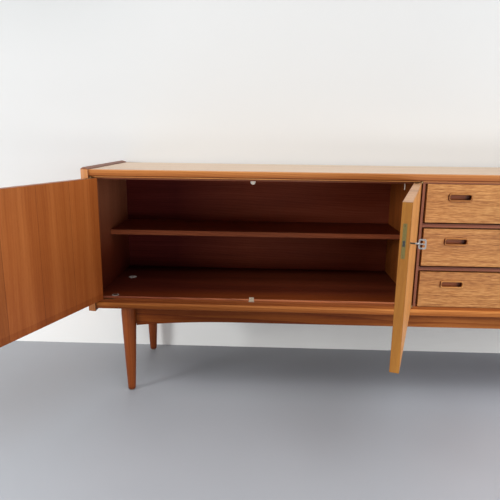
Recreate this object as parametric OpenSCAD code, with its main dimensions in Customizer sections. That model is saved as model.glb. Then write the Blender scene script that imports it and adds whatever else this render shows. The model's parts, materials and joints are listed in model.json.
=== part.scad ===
// Long low sideboard on a tapered-leg base: a double-door cupboard, a bank of three drawers
// and a single-door cupboard, between side panels that stand proud of a moulded top and bottom.
// Frame: origin on the floor at the centre of the four feet, +X along the length to the right
// as seen from the front, +Y to the back, +Z up. Millimetres.

/* [Overall] */
// Length over the side panels
body_w = 2144; // [1900:4:2400]
// Depth from the front of the lips to the back
body_d = 440; // [400:5:500]
// Height from the underside of the bottom lip to the top surface
carcass_h = 458; // [420:2:520]
// Height of the base, floor to the underside of the bottom lip
leg_h = 325; // [220:5:360]

/* [Side panels] */
// Thickness of the side panels
side_t = 24; // [18:1:28]
// How far the crest of a side panel stands above the top surface
side_rise = 7.5; // [6:0.5:10]
// Distance of that crest from the outer face
crest_in = 8; // [4:1:14]
// Fall from the crest to the outer and the inner edge
crest_fall = 5; // [0.5:0.5:5.5]
// How far a side panel hangs below the bottom lip
side_drop = 8.5; // [0:0.5:12]
// How far a side panel stands in front of the lips
side_proud = 4.5; // [1:0.5:8]
// Width of the facet planed on the front edge
facet_w = 13; // [6:1:16]
// Depth of that facet
facet_d = 4; // [1:0.5:8]

/* [Lips and panels] */
// Thickness of the top panel
top_t = 24; // [20:1:30]
// Thickness of the bottom panel
floor_t = 22; // [18:1:26]
// Depth of the solid lip along the front of the top and the bottom
lip_d = 24.6; // [24.6:0.2:28]
// Height of the nose of the top lip
nose_h = 19.5; // [14:0.5:20]
// Rounding of its upper corner
nose_r = 3; // [1:0.5:5]
// Height of the nose of the bottom lip
bead_h = 22; // [16:0.5:24]
// Rounding of its upper corner
bead_r = 8; // [2:0.5:10]
// Rounding of the lower corners of both noses
low_r = 2; // [1:0.5:4]
// Set-back of the shadow step behind the noses
step_d = 6; // [6:0.5:8]
// Height of the floor of the cupboards above the underside of the bottom lip
floor_up = 36; // [34:0.5:40]
// Drop from that floor to the ledge under the doors
ledge_drop = 6; // [2:0.5:8]
// Height of the stop strip under the top
stop_h = 7; // [3:0.5:9]
// Depth of the stop strip
stop_d = 12; // [8:1:20]
// Thickness of the back panel
back_t = 8; // [4:1:12]
// Inset of the back panel from the back edges
back_in = 4; // [0:1:12]

/* [Bays] */
// Clear width of the drawer bay
drawer_bay = 484.6; // [420:0.2:540]
// Clear width of the single-door bay
far_bay = 527.4; // [440:0.2:560]
// Thickness of the two partitions
partition_t = 18; // [16:1:22]
// Width of the solid edging on the partitions
strip_w = 8; // [7:0.5:12]
// Overhang of the edging into the door bays
strip_lap = 3; // [0:0.5:4]
// Set-back of the edging and the drawer rails from the lip fronts
strip_set = 6; // [6:0.5:10]
// Depth of the drawer rails behind the lips
rail_d = 44; // [20:2:80]

/* [Doors] */
// Thickness of the doors
door_t = 22; // [18:0.5:22]
// Set-back of the door faces from the lip fronts
door_set = 2; // [1:0.5:2]
// Gap at the edges of the doors
door_gap = 1; // [1:0.25:2]
// Gap above the doors
door_end_gap = 1.6; // [1.2:0.1:2.4]
// Gap below the doors
door_low_gap = 3; // [1.2:0.1:4]
// Distance of the pivot from the side of the bay
hinge_in = 5; // [5:0.25:8]
// Distance of the pivot in front of the door face
hinge_out = 1; // [0.5:0.25:1.5]
// Angle at which the left door stands open
open_left = 109; // [0:0.05:130]
// Angle at which the right door stands open
open_right = 71.7; // [0:0.1:140]

/* [Hinges and catches] */
// Length of a hinge leaf
leaf_l = 61; // [45:1:75]
// Width of a hinge leaf
leaf_w = 12; // [8:1:13]
// Thickness of a hinge leaf
leaf_t = 2; // [1.5:0.1:3]
// Radius of a hinge knuckle
knuckle_r = 3; // [2.6:0.1:3.4]
// Radius of a hinge pin
hinge_pin_r = 1.6; // [1.2:0.1:1.8]
// Radial clearance of a hinge pin
pin_clear = 0.05; // [0.02:0.01:0.1]
// Width of the catch blocks
catch_w = 15.5; // [12:0.5:22]
// Depth of the upper catch block
catch_d = 12; // [10:1:20]
// Height of the upper catch block
catch_h = 10.5; // [9:0.5:14]
// Height of the lower catch above the cupboard floor
catch_low_h = 4; // [3:0.5:10]
// Depth of the lower catch
catch_low_d = 8; // [6:0.5:16]
// Front of its plate on the ledge
catch_plate = 12; // [8:0.5:18]
// Length of the strike plates on the doors
strike_l = 10; // [8:0.5:20]
// Height of the strike plates
strike_h = 14; // [10:0.5:20]
// Thickness of the strike plates
strike_t = 1; // [0.8:0.1:1.5]
// Distance of the strike plates from the free edge of a door
strike_in = 1.5; // [1:0.25:6]
// Distance of the upper strike plates below the top of a door
strike_up = 12; // [4:0.5:16]
// Distance of the lower strike plates above the bottom of a door
strike_low = 4; // [3:0.5:10]
// Distance of the catches to the left of the gap between the doors
catch_off = 5; // [0:0.5:8]
// Length of the door buffer
buffer_l = 19.5; // [10:0.5:30]
// Radius of the door buffer
buffer_r = 1.7; // [1.2:0.1:3]
// Distance of the door buffer from the partition
buffer_in = 52; // [20:1:120]
// Diameters of the rear and the front cap on the cupboard floor
cap_d = [29, 22];
// Distance of the caps from the side panel
cap_in = 56.4; // [30:0.2:120]
// Distance of the rear cap behind the lip fronts
cap_back = 261; // [150:0.5:320]
// Distance of the front cap behind the lip fronts
cap_front = 37; // [34:0.5:60]

/* [Lock and key] */
// Height of the lock's centre above the bottom edge of the door
lock_up = 313; // [200:0.5:330]
// Length of the lock's faceplate
face_l = 79; // [66:1:90]
// Width of the lock's faceplate
face_w = 8.6; // [8.2:0.1:12]
// Thickness of the faceplate
face_t = 1.5; // [1:0.1:2]
// Length of the lock case
case_l = 58; // [50:1:62]
// Depth of the lock case from the faceplate
case_d = 36; // [36:1:44]
// Thickness of the lock case
case_t = 8; // [7.6:0.1:8.8]
// Distance of the lock behind the middle of the door's thickness
lock_back = 1.2; // [0:0.1:2]
// Distance of the key's axis below the lock's centre
key_drop = 8; // [-4:0.5:10]
// Distance of the bolt's axis below the lock's centre
bolt_drop = 5.5; // [0:0.5:8]
// Distance of the keyhole from the door's free edge
key_in = 25.7; // [25:0.1:28]
// Height of the bolt
bolt_h = 13; // [10:0.5:14]
// Thickness of the bolt
bolt_t = 4.6; // [3:0.1:5]
// Travel of the bolt
bolt_throw = 6.5; // [4:0.25:6.5]
// Length of the keeper plate that the bolt enters
keeper_l = 40; // [30:1:60]
// Thickness of the keeper plate
keeper_t = 1; // [0.8:0.1:2]
// Radius of the key's shank
shank_r = 1.9; // [1.5:0.1:2.6]
// Length of shank outside the door
shank_out = 17.6; // [12:0.2:26]
// Length of the key's bow, along the key
bow_l = 17; // [14:0.5:24]
// Height of the key's bow
bow_h = 23; // [18:0.5:28]
// Rounding of its corners
bow_r = 4.5; // [4:0.25:6.5]
// Width of the frame of the bow
bow_w = 3.4; // [2:0.2:3.8]
// Wall of the brass liner in a keyhole
liner_t = 1; // [0.6:0.1:1.6]
// Depth of that liner
liner_d = 4; // [2:0.5:5]

/* [Drawers] */
// Height of the two rails between the drawers
rail_h = 12; // [8:0.5:14]
// Gap between a rail and a drawer front
rail_gap = 3.9; // [3:0.1:6]
// Height of the rail above the drawers
rail_top_h = 4.2; // [3:0.1:6]
// Gap beside the drawer fronts
drawer_side_gap = 6; // [4:0.25:8]
// Gap above the top drawer front
drawer_top_gap = 1; // [0.8:0.1:3]
// Gap under the bottom drawer front
drawer_low_gap = 2; // [1:0.1:3]
// How much less high the bottom drawer front is than the others
front_less = 4; // [0:0.5:8]
// Thickness of the drawer fronts
front_t = 19; // [18:0.5:19.5]
// Set-back of the drawer fronts from the lip fronts
front_set = 3; // [1:0.5:3.5]
// Thickness of the drawer sides
drawer_side_t = 12; // [10:0.5:15]
// Rounding of the upper edges of the drawer sides
drawer_side_r = 3; // [1:0.5:4.5]
// Thickness of the back of a drawer
drawer_back_t = 12; // [9:0.5:16]
// Clearance beside the drawer boxes
drawer_clear = 1; // [0.6:0.1:2]
// Clearance behind the drawer boxes
drawer_back_clear = 14; // [5:1:60]
// Height of the drawer sides above the lower edge of the front
drawer_up = 12; // [8:0.5:16]
// How far the drawer sides stop below the top of the front
drawer_down = 10; // [6:0.5:20]
// Thickness of the drawer bottoms
drawer_floor_t = 5; // [4:0.5:8]
// Height of the drawer bottoms above the lower edge of the sides
drawer_floor_up = 8; // [6:0.5:12]
// Depth of the grooves that hold the drawer bottoms
drawer_floor_in = 5; // [3:0.5:6]
// Height of the wooden runners
runner_h = 14; // [10:0.5:18]
// Play of the runners in the grooves of the drawers
runner_play = 1; // [0.5:0.1:2]
// Distance of the rear ends of the runners from the back panel
runner_back = 20; // [5:1:60]
// Distance of a pull from the side of the drawer front
pull_in = 103; // [80:0.1:130]
// Distance of a pull below the top of the drawer front
pull_drop = 40.5; // [30:0.5:60]
// Length of a pull
pull_l = 76.4; // [70:0.2:100]
// Height of a pull
pull_h = 26.4; // [24:0.2:34]
// Width of the rounded rim round the finger slot
rim_w = 5.6; // [4:0.2:6]
// Rounding of the corners of the finger slot
slot_r = 5; // [3:0.25:5.5]
// Depth of the finger slot behind the drawer front's face
slot_d = 10; // [8:0.5:13]
// Height of the pull's rim in front of the drawer front
pull_proud = 4.5; // [4:0.5:8]

/* [Shelves] */
// Height of the shelf tops above the cupboard floor
shelf_up = 195.7; // [120:0.1:260]
// Thickness of the shelves
shelf_t = 17; // [14:0.5:22]
// Set-back of the shelf fronts
shelf_set = 192; // [40:1:220]
// Radius of a shelf pin
shelf_pin_r = 2.5; // [2:0.25:4]
// Length of a shelf pin, half of it in the side of the bay
shelf_pin_l = 16; // [12:1:20]
// Distance of the front pins behind the shelf fronts
shelf_pin_front = 30; // [15:1:60]
// Distance of the rear pins from the back panel
shelf_pin_back = 40; // [15:1:60]
// Clearance at the ends and the back of a shelf
shelf_gap = 1; // [0.5:0.25:2]

/* [Base] */
// Distance of the leg centres from the ends
leg_in_x = 116; // [80:1:200]
// Distance of the front leg centres from the lip fronts
leg_in_front = 63; // [56:1:110]
// Distance of the rear leg centres from the back
leg_in_back = 28; // [28:1:80]
// Radius of a leg at the top
leg_top_r = 25.5; // [20:0.5:28]
// Radius of a leg at the foot
leg_foot_r = 13; // [12.5:0.5:18]
// Radius of a glide
glide_r = 9; // [6:0.5:9]
// Height of a glide
glide_h = 4; // [3:0.5:8]
// Thickness of the aprons and bearers
apron_t = 20; // [16:1:24]
// Height of the front apron below the bottom lip, in the middle
apron_h = 62.5; // [45:0.5:75]
// How much deeper the apron is where it meets a leg
apron_drop = 18; // [0:1:40]
// Length of the curve at each end of the apron
apron_arc = 340; // [200:2:500]
// Set-back of the front apron from the leg centres
apron_set = 9; // [0:0.5:12]
// How much shallower the bearers are than the apron
bearer_up = 10; // [0:1:30]

/* [Hidden] */
$fn = 48;
e = 0.01;

teak = [0.72, 0.44, 0.22];
teak_dark = [0.45, 0.22, 0.11];
teak_in = [0.36, 0.16, 0.08];
brass = [0.74, 0.62, 0.36];
steel = [0.75, 0.75, 0.74];
nylon = [0.86, 0.80, 0.70];

// Heights
z_top = leg_h + carcass_h;
z_ceil = z_top - top_t;
z_floor = leg_h + floor_up;
z_ledge = z_floor - ledge_drop;
z_under = z_floor - floor_t;
z_stop = z_ceil - stop_h;
z_door0 = z_ledge + door_low_gap;
z_door1 = z_ceil - door_end_gap;
z_crest = z_top + side_rise;
// Places along the length, from the left end
w_left = body_w - 2*side_t - 2*partition_t - drawer_bay - far_bay;
x_p1 = side_t + w_left;
x_p1b = x_p1 + partition_t;
x_p2 = x_p1b + drawer_bay;
x_p2b = x_p2 + partition_t;
x_end = body_w - side_t;
x_s1 = x_p1 - strip_lap;
x_s2b = x_p2b + strip_lap;
door_w = (x_s1 - side_t - 3*door_gap) / 2;
far_w = x_end - x_s2b - 2*door_gap;
y_inner = body_d - back_in - back_t;
y_mid = (leg_in_front + body_d - leg_in_back) / 2;
// Drawers
front_x0 = x_s1 + strip_w + drawer_side_gap;
front_w = x_s2b - strip_w - drawer_side_gap - front_x0;
rail_space = rail_h + 2*rail_gap;
fronts_h = z_ceil - rail_top_h - drawer_top_gap - z_ledge - drawer_low_gap - 2*rail_space;
front_h = (fronts_h + front_less) / 3;
front_pitch = front_h + rail_space;
box_w = drawer_bay - 2*drawer_clear;
box_x = x_p1b + drawer_clear;
box_y = front_set + front_t;
box_h = front_h - front_less - drawer_up - drawer_down;
box_d = y_inner - box_y - drawer_back_clear;
groove_d = drawer_side_t / 2;
slot_l = pull_l - 2*rim_w;
slot_h = pull_h - 2*rim_w;
runner_up = drawer_up + box_h / 2;
function less(i) = i == 3 ? front_less : 0;
function front_z(i) = z_ledge + drawer_low_gap + (3 - i) * front_pitch - front_less + less(i);
// Doors
y_piv = door_set - hinge_out;
lock_z = z_door0 + lock_up;
bolt_z = lock_z - bolt_drop;
key_z = lock_z - key_drop;
y_lock = door_set + door_t / 2 + lock_back;
bit_r = 7.6;
bow_t = 2.8;
bow_bar = 2.4;
chamber_r = bit_r + 0.8;
bolt_l = key_in - chamber_r - 0.2;
hole_r = shank_r + 0.6;
hole_w = 2.8;
pole_x = 4.6;
pole_w = 3.2;
catch_x = (side_t + x_s1) / 2 - catch_off;
x_left = side_t + door_gap;
x_right = x_s1 - door_gap - door_w;
x_far = x_s2b + door_gap;

function fx(x) = x - body_w / 2;
function fy(y) = y - y_mid;

// Outline of a lip: a nose of height h with corners r0 below and r1 above, before a step of height hs
module lip_plan(z, h, r0, r1, hs) {
  difference() {
    translate([0, z]) square([step_d + 1, h]);
    translate([0, z]) difference() { square(r0); translate([r0, r0]) circle(r = r0); }
    translate([0, z + h - r1]) difference() { square(r1); translate([r1, 0]) circle(r = r1); }
  }
  translate([step_d, 0]) square([lip_d - step_d, hs]);
}
// A box from one corner to the other, in the case's own coordinates
module box(a, b) { translate([fx(a[0]), fy(a[1]), a[2]]) cube([b[0]-a[0], b[1]-a[1], b[2]-a[2]]); }
// An outline in Y and Z, drawn out along the length from x0 to x1
module along(x0, x1, z0) {
  translate([fx(x0), fy(0), z0]) rotate([90, 0, 90]) linear_extrude(x1 - x0) children();
}
// An outline in X and Y, raised from z0 by h
module rise(z0, h) { translate([fx(0), fy(0), z0]) linear_extrude(h) children(); }
// A rod along X, Y or Z
module rod_x(x, y, z, r, l) { translate([fx(x), fy(y), z]) rotate([0, 90, 0]) cylinder(r = r, h = l); }
module rod_y(x, y, z, r, l) { translate([fx(x), fy(y), z]) rotate([-90, 0, 0]) cylinder(r = r, h = l); }
module rod_z(x, y, z, r, l) { translate([fx(x), fy(y), z]) cylinder(r = r, h = l); }
// Turns what is inside about a door pivot
module swing(x, a) {
  translate([fx(x), fy(y_piv), 0]) rotate([0, 0, a]) translate([-fx(x), -fy(y_piv), 0]) children();
}
module flip_x(x) { translate([2*fx(x), 0, 0]) mirror([1, 0, 0]) children(); }
module open_l() { swing(side_t + hinge_in, -open_left) children(); }
module open_r() { swing(x_s1 - hinge_in, open_right) children(); }

// ---- Carcass ----
module shelf_pin_set(x0, x1, grow = 0) {
  l = shelf_pin_l + 2*grow;
  for (y = [shelf_set + shelf_pin_front, y_inner - shelf_pin_back], x = [x0, x1])
    rod_x(x - l/2, y, z_floor + shelf_up - shelf_t - shelf_pin_r, shelf_pin_r + grow/10, l);
}
module side_outline() {
  polygon([[0, facet_d - side_proud], [facet_w, -side_proud], [side_t, -side_proud],
    [side_t, body_d], [0, body_d]]);
}
module side_panel() {
  out = crest_fall / crest_in;
  inn = crest_fall / (side_t - crest_in);
  difference() {
    rise(leg_h - side_drop, carcass_h + side_drop + side_rise) side_outline();
    // slopes on both sides of the crest
    translate([fx(0), fy(body_d + 1), z_crest]) rotate([90, 0, 0])
      linear_extrude(body_d + side_proud + 2)
        polygon([[-1, 1], [-1, -crest_fall - out], [crest_in, 0],
          [side_t + 1, -crest_fall - inn], [side_t + 1, 1]]);
  }
}
module side_left() {
  color(teak) difference() {
    side_panel();
    shelf_pin_set(side_t, x_p1, 0.2);
  }
}
module side_right() {
  color(teak) difference() {
    flip_x(body_w / 2) side_panel();
    shelf_pin_set(x_p2b, x_end, 0.2);
  }
}
module top_panel() {
  color(teak) box([side_t, lip_d, z_ceil], [x_end, body_d, z_top]);
}
module top_lip() {
  color(teak) difference() {
    along(side_t, x_end, z_ceil) lip_plan(top_t - nose_h, nose_h, low_r, nose_r, top_t);
    carcass_leaves(true);
  }
}
module bottom_panel() {
  color(teak_in) difference() {
    box([side_t, lip_d, z_under], [x_end, body_d, z_floor]);
    catch_room(catch_w, lip_d - 1, lip_d + catch_low_d, z_floor + 1);
  }
}
module bottom_lip() {
  color(teak) difference() {
    along(side_t, x_end, leg_h) lip_plan(0, bead_h, low_r, bead_r, z_ledge - leg_h);
    carcass_leaves(false);
    catch_room(catch_w + 3, catch_plate, lip_d + 1, z_ledge + 1);
  }
}
module top_stops() {
  color(teak_dark) for (s = [[side_t, x_p1], [x_p1b, x_p2], [x_p2b, x_end]])
    box([s[0], lip_d, z_stop], [s[1], lip_d + stop_d, z_ceil]);
}
module partition(x) { box([x, lip_d, z_floor], [x + partition_t, y_inner, z_ceil]); }
module partition_left() {
  color(teak_in) difference() {
    partition(x_p1);
    shelf_pin_set(side_t, x_p1, 0.2);
  }
}
module partition_right() {
  color(teak_in) difference() {
    partition(x_p2);
    shelf_pin_set(x_p2b, x_end, 0.2);
  }
}
module partition_edging() {
  color(teak_dark) difference() {
    for (x = [x_s1, x_s2b - strip_w])
      box([x, strip_set, z_ledge], [x + strip_w, lip_d, z_ceil]);
    bolt_pocket(x_s2b - bolt_throw - 0.5, x_s2b + 1);
  }
}
module back_panel() {
  color(teak_in) box([side_t, y_inner, z_floor], [x_end, y_inner + back_t, z_ceil]);
}
module drawer_rails() {
  x0 = x_s1 + strip_w;
  x1 = x_s2b - strip_w;
  y1 = lip_d + rail_d;
  color(teak_dark) {
    for (i = [1, 2]) rise(front_z(i) - rail_gap - rail_h, rail_h)
      polygon([[x0, strip_set], [x1, strip_set], [x1, lip_d], [x_p2, lip_d], [x_p2, y1], [x_p1b, y1],
        [x_p1b, lip_d], [x0, lip_d]]);
    box([x0, strip_set, z_ceil - rail_top_h], [x1, lip_d, z_ceil]);
  }
}
module drawer_runners() {
  color(nylon * 0.8) for (i = [1:3]) {
    z = front_z(i) + runner_up - runner_h/2;
    for (x = [x_p1b, x_p2 - groove_d])
      box([x, lip_d + rail_d, z], [x + groove_d, y_inner - runner_back, z + runner_h]);
  }
}
module shelf(x0, x1) {
  z = z_floor + shelf_up;
  color(teak_in) box([x0 + shelf_gap, shelf_set, z - shelf_t], [x1 - shelf_gap, y_inner - shelf_gap, z]);
}
module shelf_left() { shelf(side_t, x_p1); }
module shelf_right() { shelf(x_p2b, x_end); }
module shelf_pins() {
  color(brass) {
    shelf_pin_set(side_t, x_p1);
    shelf_pin_set(x_p2b, x_end);
  }
}

// ---- Pivot hinges ----
// Plan of a leaf for a door hung at x = 0
module leaf_plan() {
  translate([hinge_in, y_piv]) circle(r = knuckle_r);
  translate([hinge_in - knuckle_r, y_piv]) square([2*knuckle_r, leaf_w/2 + lip_d - 9 - y_piv]);
  y0 = lip_d - 3 - leaf_w;
  translate([hinge_in - knuckle_r, y0]) square([leaf_l - hinge_in + knuckle_r - leaf_w/2, leaf_w]);
  translate([leaf_l - leaf_w/2, y0 + leaf_w/2]) circle(r = leaf_w / 2);
}
module at_hinge(x, right) {
  if (right) flip_x(x) translate([fx(x) - fx(0), 0, 0]) children();
  else translate([fx(x) - fx(0), 0, 0]) children();
}
module leaf_row(z, h) { rise(z, h) leaf_plan(); }
// The carcass leaves of the three doors: let into the lips, each with its pin
module carcass_leaf(x, right, up) {
  gap = up ? door_end_gap : door_low_gap;
  at_hinge(x, right) {
    leaf_row(up ? z_ceil : z_ledge - leaf_t, leaf_t);
    rise(up ? z_door1 : z_ledge, gap) translate([hinge_in, y_piv]) circle(r = knuckle_r - 0.5);
    rise(up ? z_door1 - leaf_t : z_ledge, gap + leaf_t)
      translate([hinge_in, y_piv]) circle(r = hinge_pin_r);
  }
}
module carcass_leaves(up) {
  carcass_leaf(side_t, false, up);
  carcass_leaf(x_s1, true, up);
  carcass_leaf(x_end, true, up);
}
module hinge_leaves() { color(brass) { carcass_leaves(true); carcass_leaves(false); } }
module door_leaves(x, right, hole = true) {
  at_hinge(x, right) for (z = [z_door0, z_door1 - leaf_t]) difference() {
    leaf_row(z, leaf_t);
    if (hole) rise(z - 1, leaf_t + 2) translate([hinge_in, y_piv]) circle(r = hinge_pin_r + pin_clear);
  }
}
module hinge_left() { color(brass) open_l() door_leaves(side_t, false); }
module hinge_right() { color(brass) open_r() door_leaves(x_s1, true); }
module hinge_far() { color(brass) door_leaves(x_end, true); }

// ---- Doors ----
module door_slab(x, w) { box([x, door_set, z_door0], [x + w, door_set + door_t, z_door1]); }
// Strike plates let into the back of a door at its free end, top and bottom
module strikes(x, grow = 0) {
  y = door_set + door_t;
  for (z = [z_door1 - strike_up - strike_h, z_door0 + strike_low])
    box([x - grow, y - strike_t - grow, z - grow],
      [x + strike_l + grow, y + (grow > 0 ? 1 : 0), z + strike_h + grow]);
}
module lock_mortise(x) {
  // faceplate, case and keyhole for a door whose free edge is at x
  box([x - 1, y_lock - face_w/2, lock_z - face_l/2], [x + face_t, y_lock + face_w/2, lock_z + face_l/2]);
  box([x + face_t - e, y_lock - case_t/2 - 0.2, lock_z - case_l/2 - 0.2],
    [x + face_t + case_d + 0.3, y_lock + case_t/2 + 0.2, lock_z + case_l/2 + 0.2]);
  keyhole(x, door_set - 1, y_lock, 0);
  keyhole(x, door_set - 1, door_set + liner_d, liner_t);
}
// A keyhole between two depths, widened all round by grow
module keyhole(x, y0, y1, grow) {
  z_slot = bit_r + 0.6;
  translate([fx(x + key_in), fy(y1), key_z]) rotate([90, 0, 0]) linear_extrude(y1 - y0) {
    circle(r = hole_r + grow);
    translate([-hole_w/2 - grow, -z_slot]) square([hole_w + 2*grow, z_slot]);
    translate([0, -z_slot]) circle(r = hole_w/2 + grow);
  }
}
// Room for a thrown bolt, from x0 to x1
module bolt_pocket(x0, x1) {
  box([x0, y_lock - bolt_t/2 - 0.4, bolt_z - bolt_h/2 - 0.6],
    [x1, y_lock + bolt_t/2 + 0.4, bolt_z + bolt_h/2 + 0.6]);
}
// The keeper plate of the left door, in the plane x0 to x1
module keeper(x0, x1) {
  box([x0, y_lock - face_w/2, bolt_z - keeper_l/2], [x1, y_lock + face_w/2, bolt_z + keeper_l/2]);
}
module door_left() {
  x1 = x_left + door_w;
  color(teak) open_l() difference() {
    door_slab(x_left, door_w);
    door_leaves(side_t, false, false);
    strikes(x1 - strike_in - strike_l, e);
    bolt_pocket(x1 - bolt_throw - 1, x1 + 1);
    keeper(x1 - keeper_t, x1 + 1);
  }
}
module keeper_left() {
  x1 = x_left + door_w;
  color(brass) open_l() difference() {
    keeper(x1 - keeper_t, x1);
    bolt_pocket(x1 - bolt_throw, x1 + 1);
  }
}
module door_right() {
  color(teak) open_r() difference() {
    door_slab(x_right, door_w);
    door_leaves(x_s1, true, false);
    strikes(x_right + strike_in, e);
    lock_mortise(x_right);
  }
}
module door_far() {
  color(teak) difference() {
    door_slab(x_far, far_w);
    door_leaves(x_end, true, false);
    strikes(x_far + strike_in, e);
    lock_mortise(x_far);
  }
}
module strike_left() { color(steel) open_l() strikes(x_left + door_w - strike_in - strike_l); }
module strike_right() { color(steel) open_r() strikes(x_right + strike_in); }
module strike_far() { color(steel) strikes(x_far + strike_in); }

// ---- Lock ----
module lock(x) {
  difference() {
    union() {
      box([x, y_lock - face_w/2, lock_z - face_l/2], [x + face_t, y_lock + face_w/2, lock_z + face_l/2]);
      box([x + face_t - e, y_lock - case_t/2, lock_z - case_l/2],
        [x + face_t + case_d, y_lock + case_t/2, lock_z + case_l/2]);
    }
    // bolt channel
    box([x - 1, y_lock - bolt_t/2 - 0.2, bolt_z - bolt_h/2 - 0.2],
      [x + bolt_l + 1, y_lock + bolt_t/2 + 0.2, bolt_z + bolt_h/2 + 0.2]);
    // chamber that the bit turns in, and the keyhole through the front of the case
    rod_y(x + key_in, y_lock - bolt_t/2 - 0.2, key_z, chamber_r, bolt_t + 0.4);
    rod_y(x + key_in, y_lock - case_t, key_z, shank_r + 0.4, 2*case_t);
    keyhole(x, y_lock - case_t, y_lock, 0);
    // screw holes of the faceplate
    for (s = [-1, 1]) rod_x(x - 1, y_lock, lock_z + s * (face_l/2 - 5), 1.6, face_t + 2);
  }
}
module bolt(x) {
  box([x + 0.5, y_lock - bolt_t/2, bolt_z - bolt_h/2], [x + bolt_l, y_lock + bolt_t/2, bolt_z + bolt_h/2]);
}
module lock_right() { color(brass) open_r() lock(x_right); }
module lock_far() { color(brass) lock(x_far); }
module liner(x) {
  difference() {
    keyhole(x, door_set - 0.5, door_set + liner_d, liner_t);
    keyhole(x, door_set - 1, door_set + liner_d + 1, 0);
  }
}
module liner_right() { color(brass) open_r() liner(x_right); }
module liner_far() { color(brass) liner(x_far); }
module bolt_right() { color(steel) open_r() bolt(x_right); }
module bolt_far() { color(steel) bolt(x_far); }
module key() {
  y1 = door_set - shank_out;
  color(steel) open_r() translate([fx(x_right + key_in), 0, key_z]) {
    translate([0, fy(y1 - 1), 0]) rotate([-90, 0, 0]) cylinder(r = shank_r, h = y_lock + bolt_t/2 - y1 + 1);
    // bit, hanging down inside the chamber
    translate([-1, fy(y_lock - bolt_t/2 + 0.3), -bit_r]) cube([2, bolt_t - 0.6, bit_r]);
    // collar on the shank
    translate([0, fy(y1 - 1), 0]) rotate([-90, 0, 0]) cylinder(r = shank_r + 1.2, h = 2.2);
    // bow: a flat frame standing on edge, with a bar across it
    translate([-bow_t/2, fy(y1 - bow_l/2), 0]) rotate([0, 90, 0]) linear_extrude(bow_t) {
      difference() {
        rounded(bow_h, bow_l, bow_r);
        rounded(bow_h - 2*bow_w, bow_l - 2*bow_w, bow_r - bow_w + 0.4);
      }
      square([bow_bar, bow_l - bow_w], center = true);
    }
  }
}

// ---- Catches and small fittings ----
module catch_top() {
  y = lip_d + 0.3;
  r = catch_w / 2;
  color(nylon) difference() {
    union() {
      box([catch_x - r, y, z_stop - catch_h + r], [catch_x + r, y + catch_d, z_stop]);
      rod_y(catch_x, y, z_stop - catch_h + r, r, catch_d);
    }
    for (s = [-1, 1]) pole(s);
    box([catch_x - catch_w, y - 1, z_stop], [catch_x + catch_w, y + catch_d + 1, z_stop + catch_w]);
  }
}
// One of the two poles let into the front of the upper catch
module pole(s) {
  x = catch_x + s * pole_x;
  box([x - pole_w/2, lip_d + 0.2, z_stop - 7], [x + pole_w/2, lip_d + 5, z_stop - 2]);
}
module catch_poles() { color(steel) for (s = [-1, 1]) pole(s); }
// The lower catch: a plate on the ledge and a block let into the edge of the floor
module catch_room(w, y0, y1, z1) { box([catch_x - w/2, y0, z_ledge - 1], [catch_x + w/2, y1, z1]); }
module catch_bottom() {
  z1 = z_floor + catch_low_h;
  color(nylon) difference() {
    union() {
      catch_room(catch_w + 3, catch_plate, lip_d, z_ledge + 0.6);
      catch_room(catch_w, lip_d - e, lip_d + catch_low_d, z1);
    }
    rod_y(catch_x, lip_d - 1, z1 - 4, 1.8, 6);
  }
}
module door_buffer() {
  color(nylon) rod_z(x_p1 - buffer_in, lip_d + stop_d/2, z_stop - buffer_l, buffer_r, buffer_l);
}
module floor_cap() {
  color([0.4, 0.4, 0.4]) for (c = [[cap_back, cap_d[0]], [cap_front, cap_d[1]]]) {
    rod_z(side_t + cap_in, c[0], z_floor, c[1]/2, 1);
    rod_z(side_t + cap_in, c[0], z_floor, c[1]/2 - 3, 1.8);
  }
}

// ---- Drawers ----
module pull_at(i, s, y) {
  x = s < 0 ? front_x0 + pull_in : front_x0 + front_w - pull_in;
  z = front_z(i) + front_h - less(i) - pull_drop;
  translate([fx(x), fy(y), z]) rotate([-90, 0, 0]) children();
}
// A rectangle with rounded corners
module rounded(l, h, r) {
  square([l - 2*r, h], center = true);
  square([l, h - 2*r], center = true);
  for (a = [-1, 1], b = [-1, 1]) translate([a * (l/2 - r), b * (h/2 - r)]) circle(r = r);
}
module drawer_front(i) {
  color(teak) difference() {
    box([front_x0, front_set, front_z(i)],
      [front_x0 + front_w, front_set + front_t, front_z(i) + front_h - less(i)]);
    for (s = [-1, 1]) pull_at(i, s, front_set - 1)
      linear_extrude(slot_d + 3.2) rounded(slot_l + 4.4, slot_h + 4.4, slot_r + 2.2);
  }
}
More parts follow.
